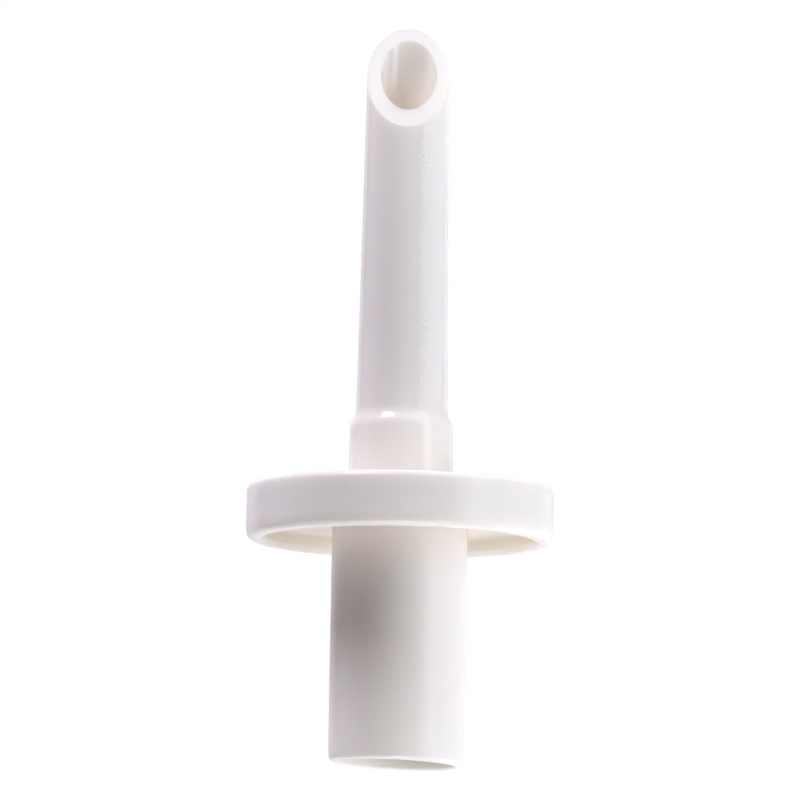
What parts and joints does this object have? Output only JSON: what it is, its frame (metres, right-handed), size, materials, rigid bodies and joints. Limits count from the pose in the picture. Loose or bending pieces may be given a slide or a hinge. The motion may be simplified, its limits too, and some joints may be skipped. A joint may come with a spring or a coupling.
{
  "type": "saliva ejector tip",
  "caption": "Bevelled suction nozzle that swivels in a skirted round flange, over a plain spigot that pushes into a dental suction coupling.",
  "frame": {"origin": "centre of the spigot's open end", "axes": "+Z along the flow axis towards the nozzle's mouth; the bevelled mouth faces -Y"},
  "size_m": [0.025, 0.025, 0.0609],
  "materials": {
    "nozzle_plastic": "milky white, slightly translucent; fine spark-eroded grain on the long tube, polished shoulder, collar, mouth and bore",
    "flange_plastic": "milky white, slightly translucent, polished, with a warm tint inside the recess",
    "spigot_plastic": "milky white, slightly translucent, satin polish with a rounded glossy lip",
    "seal_rubber": "translucent white silicone, satin",
    "clip_plastic": "natural white, matt"
  },
  "bodies": {
    "spigot": {"spigot": "spigot_plastic"},
    "shield": {"flange": "flange_plastic", "hub_o_ring": "seal_rubber"},
    "nozzle": {"nozzle": "nozzle_plastic", "nozzle_o_ring": "seal_rubber", "retaining_clip": "clip_plastic"}
  },
  "joints": [
    {"name": "shield_pull_off", "type": "slide", "parent": "spigot", "child": "shield", "axis": [0, 0, 1], "range_m": [0, 0.0085]},
    {"name": "nozzle_swivel", "type": "hinge", "parent": "shield", "child": "nozzle", "pos_m": [0, 0, 0.0217], "axis": [0, 0, 1], "continuous": true}
  ]
}
